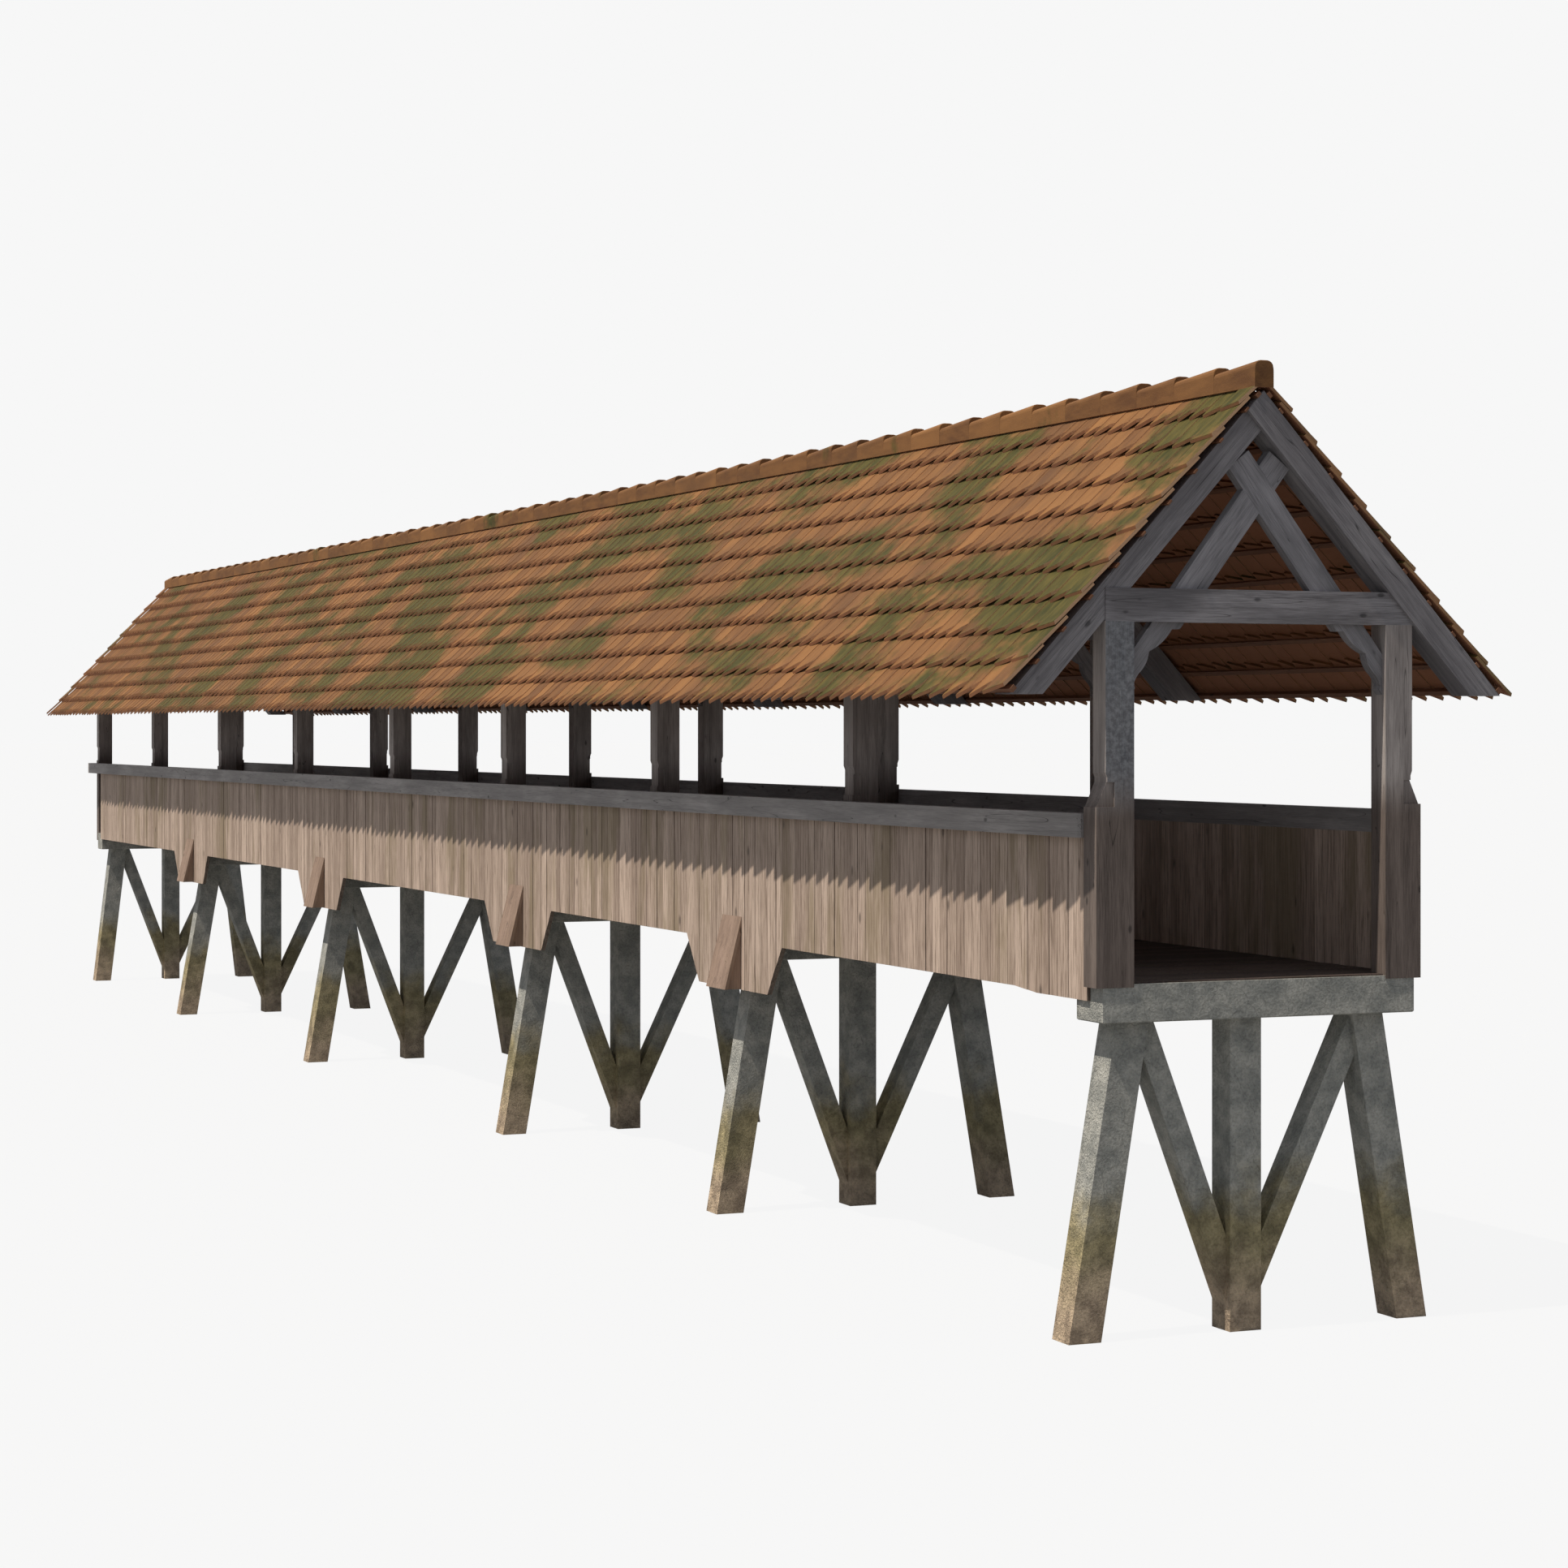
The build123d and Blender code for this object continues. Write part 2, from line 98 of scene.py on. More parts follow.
def weatheredTimber(name, dark, middle, light, turn, ageing=None):
    look = timberLook
    material, tree, shader, place = newMaterial(name, look["roughness"])
    along = addNode(tree, "ShaderNodeMapping", {"Rotation": turn}, {"Vector": place}).outputs[0]
    grainRun = addNode(tree, "ShaderNodeMapping", {"Scale": (1, 1, look["grainStretch"])}, {"Vector": along}).outputs[0]
    patchRun = addNode(tree, "ShaderNodeMapping", {"Scale": (1, 1, look["patchStretch"])}, {"Vector": along}).outputs[0]
    grain = addNode(tree, "ShaderNodeTexNoise", {"Scale": 1 / look["grainWidth"], "Detail": 4, "Roughness": 0.65},
                    {"Vector": grainRun}).outputs["Fac"]
    streak = addNode(tree, "ShaderNodeTexNoise", {"Scale": 1 / look["streakWidth"], "Detail": 2},
                     {"Vector": grainRun}).outputs["Fac"]
    patch = addNode(tree, "ShaderNodeTexNoise", {"Scale": 1 / look["patchSize"], "Detail": 3},
                    {"Vector": patchRun}).outputs["Fac"]
    streakPart = addNode(tree, "ShaderNodeMath", {"operation": "MULTIPLY", 1: 1 - look["grainShare"]},
                         {0: streak}).outputs[0]
    blend = addNode(tree, "ShaderNodeMath", {"operation": "MULTIPLY_ADD", 1: look["grainShare"]},
                    {0: grain, 2: streakPart}).outputs[0]
    toneFine = addNode(tree, "ShaderNodeMapRange",
                       {"From Min": 0.28, "From Max": 0.72, "interpolation_type": "SMOOTHSTEP"},
                       {"Value": blend}).outputs[0]
    tonePatch = addNode(tree, "ShaderNodeMapRange",
                        {"From Min": 0.34, "From Max": 0.68, "interpolation_type": "SMOOTHSTEP"},
                        {"Value": patch}).outputs[0]
    base = addNode(tree, "ShaderNodeMix", {"data_type": "RGBA", 6: srgbToLinear(dark), 7: srgbToLinear(middle)},
                   {0: toneFine}).outputs[2]
    pale = addNode(tree, "ShaderNodeMath", {"operation": "MULTIPLY"}, {0: tonePatch, 1: toneFine}).outputs[0]
    coloured = addNode(tree, "ShaderNodeMix", {"data_type": "RGBA", 7: srgbToLinear(light)},
                       {0: pale, 6: base}).outputs[2]
    # Drying cracks: thin dark lines where a stretched pattern crosses one of its values
    crackNoise = addNode(tree, "ShaderNodeTexNoise", {"Scale": 1 / look["crackSpacing"], "Detail": 1},
                         {"Vector": grainRun}).outputs["Fac"]
    crackOffset = addNode(tree, "ShaderNodeMath", {"operation": "SUBTRACT", 1: look["crackLevel"]},
                          {0: crackNoise}).outputs[0]
    crackLine = addNode(tree, "ShaderNodeMath", {"operation": "ABSOLUTE"}, {0: crackOffset}).outputs[0]
    crack = addNode(tree, "ShaderNodeMapRange", {"From Min": 0.0005, "From Max": 0.004},
                    {"Value": crackLine}).outputs[0]
    # Knots: small dark ovals scattered along the member
    knotRun = addNode(tree, "ShaderNodeMapping", {"Scale": (1, 1, look["knotStretch"])}, {"Vector": along}).outputs[0]
    knots = addNode(tree, "ShaderNodeTexVoronoi", {"Scale": 1 / look["knotSpacing"]},
                    {"Vector": knotRun}).outputs["Distance"]
    knot = addNode(tree, "ShaderNodeMapRange",
                   {"From Min": 0.045, "From Max": 0.12, "interpolation_type": "SMOOTHSTEP"},
                   {"Value": knots}).outputs[0]
    marks = addNode(tree, "ShaderNodeMath", {"operation": "MULTIPLY"}, {0: crack, 1: knot}).outputs[0]
    faded = addNode(tree, "ShaderNodeMapRange", {"To Min": look["markTone"], "To Max": 1.0},
                    {"Value": marks}).outputs[0]
    finished = addNode(tree, "ShaderNodeMix", {"data_type": "RGBA", "blend_type": "MULTIPLY", 0: 1.0},
                       {6: coloured, 7: faded}).outputs[2]
    if ageing:
        finished = ageing(tree, place, finished)
    tree.links.new(finished, shader.inputs["Base Color"])
    height = addNode(tree, "ShaderNodeMath", {"operation": "MULTIPLY"}, {0: blend, 1: marks}).outputs[0]
    bump = addNode(tree, "ShaderNodeBump", {"Strength": 0.8, "Distance": look["bumpDepth"]}, {"Height": height})
    tree.links.new(bump.outputs[0], shader.inputs["Normal"])
    return material


# Posts are darker and browner up to the rail. Above it the front of the first left post has a grey speckled bloom.
postLook = {
    "darkUpTo": 3.45,
    "clearFrom": 3.85,
    "lowerTint": "#a69d97",
    "bloomTones": ("#4f565f", "#838a91"),
    "bloomShare": 0.75,
    "spotsPerMetre": 28,
    "frontEnd": -17.279,  # the bloom lies before this, along the bridge
    "leftEnd": -0.9,  # and left of this, across it
}


def postAgeing(tree, place, colour):
    look = postLook
    parts = addNode(tree, "ShaderNodeSeparateXYZ", {}, {0: place})
    lower = addNode(tree, "ShaderNodeMapRange",
                    {"From Min": look["darkUpTo"], "From Max": look["clearFrom"], "To Min": 1.0, "To Max": 0.0,
                     "interpolation_type": "SMOOTHSTEP"}, {"Value": parts.outputs["Z"]}).outputs[0]
    darkened = addNode(tree, "ShaderNodeMix",
                       {"data_type": "RGBA", "blend_type": "MULTIPLY", 7: srgbToLinear(look["lowerTint"])},
                       {0: lower, 6: colour}).outputs[2]
    spots = addNode(tree, "ShaderNodeTexNoise", {"Scale": look["spotsPerMetre"], "Detail": 5, "Roughness": 0.7},
                    {"Vector": place}).outputs["Fac"]
    spotTone = addNode(tree, "ShaderNodeMapRange", {"From Min": 0.40, "From Max": 0.62}, {"Value": spots}).outputs[0]
    dark, light = look["bloomTones"]
    bloom = addNode(tree, "ShaderNodeMix", {"data_type": "RGBA", 6: srgbToLinear(dark), 7: srgbToLinear(light)},
                    {0: spotTone}).outputs[2]
    front = addNode(tree, "ShaderNodeMath", {"operation": "LESS_THAN", 1: look["frontEnd"]},
                    {0: parts.outputs["Y"]}).outputs[0]
    leftSide = addNode(tree, "ShaderNodeMath", {"operation": "LESS_THAN", 1: look["leftEnd"]},
                       {0: parts.outputs["X"]}).outputs[0]
    upper = addNode(tree, "ShaderNodeMath", {"operation": "SUBTRACT", 0: 1.0}, {1: lower}).outputs[0]
    onFace = addNode(tree, "ShaderNodeMath", {"operation": "MULTIPLY"}, {0: front, 1: leftSide}).outputs[0]
    where = addNode(tree, "ShaderNodeMath", {"operation": "MULTIPLY"}, {0: onFace, 1: upper}).outputs[0]
    share = addNode(tree, "ShaderNodeMath", {"operation": "MULTIPLY", 1: look["bloomShare"]}, {0: where}).outputs[0]
    return addNode(tree, "ShaderNodeMix", {"data_type": "RGBA"}, {0: share, 6: darkened, 7: bloom}).outputs[2]


# Sawn boards: fine upright grain, damp stains and small knots, each board its own tone. Faces turned along the wall,
# the board sides in the gaps and the slanted ends, can be darkened with painted shade. Widths in metres, drawn a little
# coarser than real.
boardLook = {
    "roughness": 0.85,
    "grainWidth": 0.0045,
    "streakWidth": 0.016,
    "stainWidth": 0.55,
    "grainStretch": 0.035,
    "stainStretch": 0.25,
    "stainShare": 0.65,
    "knotsPerMetre": 3.2,
    "knotStretch": 0.55,
    "knotTone": 0.45,
    "dullestBoard": 0.88,
    "boardJump": 37.0,
    "bumpDepth": 0.003,
}


def sawnBoards(name, dark, middle, light, damp, paintedSideShade=0):
    look = boardLook
    material, tree, shader, place = newMaterial(name, look["roughness"])
    tint = addNode(tree, "ShaderNodeAttribute", {"attribute_name": "tint"}).outputs["Fac"]
    jump = addNode(tree, "ShaderNodeCombineXYZ", {}, {"Z": tint}).outputs[0]
    jumped = addNode(tree, "ShaderNodeVectorMath", {"operation": "MULTIPLY_ADD", 1: (0, 0, look["boardJump"])},
                     {0: jump, 2: place}).outputs[0]
    grainRun = addNode(tree, "ShaderNodeMapping", {"Scale": (1, 1, look["grainStretch"])},
                       {"Vector": jumped}).outputs[0]
    grain = addNode(tree, "ShaderNodeTexNoise", {"Scale": 1 / look["grainWidth"], "Detail": 4, "Roughness": 0.7},
                    {"Vector": grainRun}).outputs["Fac"]
    streak = addNode(tree, "ShaderNodeTexNoise", {"Scale": 1 / look["streakWidth"], "Detail": 2, "Distortion": 0.6},
                     {"Vector": grainRun}).outputs["Fac"]
    stainRun = addNode(tree, "ShaderNodeMapping", {"Scale": (1, 1, look["stainStretch"])}, {"Vector": place}).outputs[0]
    stain = addNode(tree, "ShaderNodeTexNoise", {"Scale": 1 / look["stainWidth"], "Detail": 5, "Roughness": 0.6},
                    {"Vector": stainRun}).outputs["Fac"]
    streakPart = addNode(tree, "ShaderNodeMath", {"operation": "MULTIPLY", 1: 0.5}, {0: streak}).outputs[0]
    blend = addNode(tree, "ShaderNodeMath", {"operation": "MULTIPLY_ADD", 1: 0.5},
                    {0: grain, 2: streakPart}).outputs[0]
    tone = addNode(tree, "ShaderNodeMapRange",
                   {"From Min": 0.35, "From Max": 0.62, "interpolation_type": "SMOOTHSTEP"},
                   {"Value": blend}).outputs[0]
    base = addNode(tree, "ShaderNodeMix", {"data_type": "RGBA", 6: srgbToLinear(dark), 7: srgbToLinear(middle)},
                   {0: tone}).outputs[2]
    lightened = addNode(tree, "ShaderNodeMath", {"operation": "MULTIPLY"}, {0: tone, 1: tint}).outputs[0]
    weathered = addNode(tree, "ShaderNodeMapRange", {"To Min": look["dullestBoard"], "To Max": 1.0},
                        {"Value": tint}).outputs[0]
    paled = addNode(tree, "ShaderNodeMix", {"data_type": "RGBA", 7: srgbToLinear(light)},
                    {0: lightened, 6: base}).outputs[2]
    wetness = addNode(tree, "ShaderNodeMapRange",
                      {"From Min": 0.50, "From Max": 0.66, "To Max": look["stainShare"],
                       "interpolation_type": "SMOOTHSTEP"}, {"Value": stain}).outputs[0]
    stained = addNode(tree, "ShaderNodeMix", {"data_type": "RGBA", 7: srgbToLinear(damp)},
                      {0: wetness, 6: paled}).outputs[2]
    knotRun = addNode(tree, "ShaderNodeMapping", {"Scale": (1, 1, look["knotStretch"])}, {"Vector": jumped}).outputs[0]
    knots = addNode(tree, "ShaderNodeTexVoronoi", {"Scale": look["knotsPerMetre"]},
                    {"Vector": knotRun}).outputs["Distance"]
    knot = addNode(tree, "ShaderNodeMapRange", {"From Min": 0.04, "From Max": 0.10, "To Min": look["knotTone"]},
                   {"Value": knots}).outputs[0]
    marks = addNode(tree, "ShaderNodeMath", {"operation": "MULTIPLY"}, {0: knot, 1: weathered}).outputs[0]
    finished = addNode(tree, "ShaderNodeMix", {"data_type": "RGBA", "blend_type": "MULTIPLY", 0: 1.0},
                       {6: stained, 7: marks}).outputs[2]
    if paintedSideShade:
        # painted shade: faces turned along the wall, board sides and slanted ends, are darkened
        facing = addNode(tree, "ShaderNodeNewGeometry").outputs["True Normal"]
        alongWall = addNode(tree, "ShaderNodeSeparateXYZ", {}, {0: facing}).outputs["Y"]
        turned = addNode(tree, "ShaderNodeMath", {"operation": "ABSOLUTE"}, {0: alongWall}).outputs[0]
        joint = addNode(tree, "ShaderNodeMapRange",
                        {"From Min": 0.15, "From Max": 0.5, "To Min": 1.0, "To Max": paintedSideShade},
                        {"Value": turned}).outputs[0]
        finished = addNode(tree, "ShaderNodeMix", {"data_type": "RGBA", "blend_type": "MULTIPLY", 0: 1.0},
                           {6: finished, 7: joint}).outputs[2]
    tree.links.new(finished, shader.inputs["Base Color"])
    bump = addNode(tree, "ShaderNodeBump", {"Strength": 0.7, "Distance": look["bumpDepth"]}, {"Height": blend})
    tree.links.new(bump.outputs[0], shader.inputs["Normal"])
    return material


# Hand-made clay tile: each its own tone, streaked down the slope, with soft wide patches of dirt and moss.
# Undersides and tail ends get a light plain clay brown as painted light against their shade, and the long side edges
# are lightened with painted light.
clayLook = {
    "roughness": 0.88,
    "streakWidth": 0.085,
    "streakStretch": 0.32,
    "gritSize": 0.012,
    "tileJump": 29.0,
    "clayTones": ("#67472d", "#7f5a37"),
    "brightTone": "#a07346",
    "brightShare": 0.5,
    "dirtWidth": 0.45,
    "dirtStretch": 0.45,
    "dirtTone": "#5e4430",
    "dirtShare": 0.6,
    "mossWidth": 1.0,
    "mossFine": 0.10,
    "mossFineShare": 0.22,
    "mossStretch": (1, 0.8, 1.15),
    "mossTones": ("#2c3310", "#565125"),
    "mossShare": 0.92,
    "paintedLightUnderTone": "#a57256",
    "paintedLightUnderShare": 0.9,
    "paintedSideLightTone": "#d3ab88",
    "bumpDepth": 0.004,
}


def clayTile(name, turn, mossAmount, paintedSideLightShare):
    look = clayLook
    material, tree, shader, place = newMaterial(name, look["roughness"])
    tint = addNode(tree, "ShaderNodeAttribute", {"attribute_name": "tint"}).outputs["Fac"]
    along = addNode(tree, "ShaderNodeMapping", {"Rotation": turn}, {"Vector": place}).outputs[0]
    jump = addNode(tree, "ShaderNodeCombineXYZ", {}, {"Z": tint}).outputs[0]
    jumped = addNode(tree, "ShaderNodeVectorMath", {"operation": "MULTIPLY_ADD", 1: (0, 0, look["tileJump"])},
                     {0: jump, 2: along}).outputs[0]
    streakRun = addNode(tree, "ShaderNodeMapping", {"Scale": (1, 1, look["streakStretch"])},
                        {"Vector": jumped}).outputs[0]
    streak = addNode(tree, "ShaderNodeTexNoise", {"Scale": 1 / look["streakWidth"], "Detail": 4, "Roughness": 0.6},
                     {"Vector": streakRun}).outputs["Fac"]
    grit = addNode(tree, "ShaderNodeTexNoise", {"Scale": 1 / look["gritSize"], "Detail": 3},
                   {"Vector": along}).outputs["Fac"]
    tone = addNode(tree, "ShaderNodeMapRange",
                   {"From Min": 0.28, "From Max": 0.72, "interpolation_type": "SMOOTHSTEP"},
                   {"Value": streak}).outputs[0]
    dark, middle = look["clayTones"]
    base = addNode(tree, "ShaderNodeMix", {"data_type": "RGBA", 6: srgbToLinear(dark), 7: srgbToLinear(middle)},
                   {0: tone}).outputs[2]
    bright = addNode(tree, "ShaderNodeMapRange", {"From Min": 0.25, "From Max": 1.0, "To Max": look["brightShare"]},
                     {"Value": tint}).outputs[0]
    toned = addNode(tree, "ShaderNodeMix", {"data_type": "RGBA", 7: srgbToLinear(look["brightTone"])},
                    {0: bright, 6: base}).outputs[2]
    wideRun = addNode(tree, "ShaderNodeMapping", {"Scale": (1, 1, look["dirtStretch"])}, {"Vector": along}).outputs[0]
    wide = addNode(tree, "ShaderNodeTexNoise", {"Scale": 1 / look["dirtWidth"], "Detail": 3},
                   {"Vector": wideRun}).outputs["Fac"]
    dirt = addNode(tree, "ShaderNodeMapRange",
                   {"From Min": 0.48, "From Max": 0.72, "To Max": look["dirtShare"],
                    "interpolation_type": "SMOOTHSTEP"}, {"Value": wide}).outputs[0]
    dirty = addNode(tree, "ShaderNodeMix", {"data_type": "RGBA", 7: srgbToLinear(look["dirtTone"])},
                    {0: dirt, 6: toned}).outputs[2]
    # Moss: wide patches with soft edges, broken up by a finer pattern
    mossRun = addNode(tree, "ShaderNodeMapping", {"Scale": look["mossStretch"]}, {"Vector": along}).outputs[0]
    mossWide = addNode(tree, "ShaderNodeTexNoise", {"Scale": 1 / look["mossWidth"], "Detail": 2},
                       {"Vector": mossRun}).outputs["Fac"]
    mossFine = addNode(tree, "ShaderNodeTexNoise", {"Scale": 1 / look["mossFine"], "Detail": 3},
                       {"Vector": mossRun}).outputs["Fac"]
    mossSum = addNode(tree, "ShaderNodeMath", {"operation": "MULTIPLY_ADD", 1: look["mossFineShare"]},
                      {0: mossFine, 2: mossWide}).outputs[0]
    moss = addNode(tree, "ShaderNodeMapRange",
                   {"From Min": 0.655 - mossAmount, "From Max": 0.80 - mossAmount, "To Max": look["mossShare"],
                    "interpolation_type": "SMOOTHSTEP"}, {"Value": mossSum}).outputs[0]
    dark, light = look["mossTones"]
    mossTone = addNode(tree, "ShaderNodeMix", {"data_type": "RGBA", 6: srgbToLinear(dark), 7: srgbToLinear(light)},
                       {0: tone}).outputs[2]
    mossy = addNode(tree, "ShaderNodeMix", {"data_type": "RGBA"}, {0: moss, 6: dirty, 7: mossTone}).outputs[2]
    # Painted light: first on the undersides and tail ends, then on the long side edges
    facing = addNode(tree, "ShaderNodeNewGeometry").outputs["True Normal"]
    facingParts = addNode(tree, "ShaderNodeSeparateXYZ", {}, {0: facing})
    # painted light: faces turned downwards, which lie in shade, are given a lighter brown
    paintedUnderLight = addNode(tree, "ShaderNodeMapRange", {"From Min": -0.05, "From Max": -0.45, "To Max": look["paintedLightUnderShare"]},
                    {"Value": facingParts.outputs["Z"]}).outputs[0]
    withPaintedUnderLight = addNode(tree, "ShaderNodeMix", {"data_type": "RGBA", 7: srgbToLinear(look["paintedLightUnderTone"])},
                    {0: paintedUnderLight, 6: mossy}).outputs[2]
    # painted light: the long side edges, which lie in shade, are lightened towards the tone of the tops
    sideways = addNode(tree, "ShaderNodeMath", {"operation": "ABSOLUTE"}, {0: facingParts.outputs["Y"]}).outputs[0]
    paintedSideLight = addNode(tree, "ShaderNodeMapRange", {"From Min": 0.55, "From Max": 0.9, "To Max": paintedSideLightShare},
                     {"Value": sideways}).outputs[0]
    finished = addNode(tree, "ShaderNodeMix", {"data_type": "RGBA", 7: srgbToLinear(look["paintedSideLightTone"])},
                       {0: paintedSideLight, 6: withPaintedUnderLight}).outputs[2]
    tree.links.new(finished, shader.inputs["Base Color"])
    height = addNode(tree, "ShaderNodeMath", {"operation": "MULTIPLY_ADD", 1: 0.6}, {0: grit, 2: streak}).outputs[0]
    bump = addNode(tree, "ShaderNodeBump", {"Strength": 0.5, "Distance": look["bumpDepth"]}, {"Height": height})
    tree.links.new(bump.outputs[0], shader.inputs["Normal"])
    return material


# Cast stone of the trestles: mottled grey, pitted and finely cracked, stained brown and then olive at the foot
stoneLook = {
    "roughness": 0.9,
    "mottleSize": 0.15,
    "pitSize": 0.018,
    "pitTone": 0.74,
    "crackSpacing": 0.75,
    "crackTone": 0.72,
    "stoneTones": ("#9da09c", "#c4c5be"),
    "soilTones": ("#a3927e", "#dcc7ab"),
    "algaeTones": ("#8c8466", "#beb28b"),
    "stainMiddle": 0.50,
    "stainFade": 0.45,
    "stainUneven": -0.9,
    "stainsPerMetre": 2.6,
    "wavesPerMetre": 3.0,
    "bumpDepth": 0.018,
}


def castStone(name):
    look = stoneLook
    material, tree, shader, place = newMaterial(name, look["roughness"])
    mottle = addNode(tree, "ShaderNodeTexNoise", {"Scale": 1 / look["mottleSize"], "Detail": 6, "Roughness": 0.62},
                     {"Vector": place}).outputs["Fac"]
    pit = addNode(tree, "ShaderNodeTexNoise", {"Scale": 1 / look["pitSize"], "Detail": 4, "Roughness": 0.6},
                  {"Vector": place}).outputs["Fac"]
    tone = addNode(tree, "ShaderNodeMapRange",
                   {"From Min": 0.34, "From Max": 0.68, "interpolation_type": "SMOOTHSTEP"},
                   {"Value": mottle}).outputs[0]
    base, soil, algae = (
        addNode(tree, "ShaderNodeMix", {"data_type": "RGBA", 6: srgbToLinear(dark), 7: srgbToLinear(light)},
                {0: tone}).outputs[2]
        for dark, light in (look["stoneTones"], look["soilTones"], look["algaeTones"]))
    # The stains rise from the foot with a soft, uneven edge
    height = addNode(tree, "ShaderNodeSeparateXYZ", {}, {0: place}).outputs["Z"]
    edgeNoise = addNode(tree, "ShaderNodeTexNoise", {"Scale": look["stainsPerMetre"], "Detail": 4},
                        {"Vector": place}).outputs["Fac"]
    edge = addNode(tree, "ShaderNodeMath", {"operation": "MULTIPLY_ADD", 1: look["stainUneven"]},
                   {0: edgeNoise, 2: height}).outputs[0]
    damp = addNode(tree, "ShaderNodeMapRange",
                   {"From Min": look["stainMiddle"] - look["stainFade"] / 2,
                    "From Max": look["stainMiddle"] + look["stainFade"] / 2,
                    "To Min": 1.0, "To Max": 0.0, "interpolation_type": "SMOOTHSTEP"}, {"Value": edge}).outputs[0]
    climb = addNode(tree, "ShaderNodeMapRange",
                    {"From Min": -0.35, "From Max": 0.25, "interpolation_type": "SMOOTHSTEP"},
                    {"Value": edge}).outputs[0]
    growth = addNode(tree, "ShaderNodeMix", {"data_type": "RGBA"}, {0: climb, 6: soil, 7: algae}).outputs[2]
    stained = addNode(tree, "ShaderNodeMix", {"data_type": "RGBA"}, {0: damp, 6: base, 7: growth}).outputs[2]
    # Fine cracks follow the borders of large, wavy cells
    wave = addNode(tree, "ShaderNodeTexNoise", {"Scale": look["wavesPerMetre"], "Detail": 4},
                   {"Vector": place}).outputs["Color"]
    waved = addNode(tree, "ShaderNodeVectorMath", {"operation": "MULTIPLY_ADD", 1: (0.5, 0.5, 0.5)},
                    {0: wave, 2: place}).outputs[0]
    cells = addNode(tree, "ShaderNodeTexVoronoi", {"feature": "DISTANCE_TO_EDGE", "Scale": 1 / look["crackSpacing"]},
                    {"Vector": waved}).outputs["Distance"]
    crack = addNode(tree, "ShaderNodeMapRange", {"From Min": 0.0, "From Max": 0.006, "To Min": look["crackTone"]},
                    {"Value": cells}).outputs[0]
    pitted = addNode(tree, "ShaderNodeMapRange", {"From Min": 0.32, "From Max": 0.54, "To Min": look["pitTone"]},
                     {"Value": pit}).outputs[0]
    marks = addNode(tree, "ShaderNodeMath", {"operation": "MULTIPLY"}, {0: crack, 1: pitted}).outputs[0]
    finished = addNode(tree, "ShaderNodeMix", {"data_type": "RGBA", "blend_type": "MULTIPLY", 0: 1.0},
                       {6: stained, 7: marks}).outputs[2]
    tree.links.new(finished, shader.inputs["Base Color"])
    relief = addNode(tree, "ShaderNodeMath", {"operation": "MULTIPLY"}, {0: marks, 1: pit}).outputs[0]
    bump = addNode(tree, "ShaderNodeBump", {"Strength": 1.0, "Distance": look["bumpDepth"]}, {"Height": relief})
    tree.links.new(bump.outputs[0], shader.inputs["Normal"])
    return material


# Grain direction of each member, as a turn that brings the grain onto the pattern's Z
grainUp = (0, 0, 0)
grainAlongBridge = (radians(90), 0, 0)
grainAcross = (0, radians(-90), 0)
slopeLeft = (0, radians(roofPitch - 90), 0)
slopeRight = (0, radians(90 - roofPitch), 0)
braceLeft = (0, radians(bracePitch - 90), 0)
braceRight = (0, radians(90 - bracePitch), 0)

# Tones from dark to light
rafterTones = ("#626064", "#807e81", "#a5a3a6")
braceTones = ("#656467", "#868588", "#aba9ae")

postTimber = weatheredTimber("weatheredOakPosts", "#7e7876", "#a49d9a", "#c7c1be", grainUp, ageing=postAgeing)
railTimber = weatheredTimber("weatheredOakRail", "#82807f", "#9d9a99", "#b6b3b2", grainAlongBridge)
tieTimber = weatheredTimber("weatheredOakTie", "#605e60", "#7f7d80", "#a6a4a8", grainAcross)
rafterTimberLeft = weatheredTimber("weatheredOakRafterLeft", *rafterTones, slopeLeft)
rafterTimberRight = weatheredTimber("weatheredOakRafterRight", *rafterTones, slopeRight)
braceTimberLeft = weatheredTimber("weatheredOakBraceLeft", *braceTones, braceLeft)
braceTimberRight = weatheredTimber("weatheredOakBraceRight", *braceTones, braceRight)
propTimber = weatheredTimber("weatheredBoardProps", "#7d6b60", "#95806f", "#a89284", grainUp)
battenTimber = weatheredTimber("sawnBattens", "#6b4a38", "#7d5842", "#8b654d", grainAlongBridge)
stringerTimber = weatheredTimber("weatheredStringers", "#4c4542", "#5e5753", "#716963", grainAlongBridge)
wallBoards = sawnBoards("weatheredPineBoards", "#857467", "#beaa9b", "#d6c3b4", "#8a7c62", paintedSideShade=0.35)
deckBoards = sawnBoards("dampDeckPlanks", "#2a2322", "#4a3f3b", "#5c4f49", "#38322a")
trestleStone = castStone("castStone")
clayLeft = clayTile("handMadeClayLeft", slopeLeft, mossAmount=0.080, paintedSideLightShare=0.8)
clayRight = clayTile("handMadeClayRight", slopeRight, mossAmount=0.04, paintedSideLightShare=0.25)
clayRidge = clayTile("handMadeClayRidge", grainAlongBridge, mossAmount=-0.05, paintedSideLightShare=0.0)
print("materials ready")


def startPiece(name, size, centre):
    bpy.ops.object.select_all(action="DESELECT")
    bpy.ops.mesh.primitive_cube_add(size=1, location=centre)
    piece = bpy.context.active_object
    piece.name = name
    piece.scale = size
    bpy.ops.object.transform_apply(location=True, rotation=True, scale=True)
    return piece


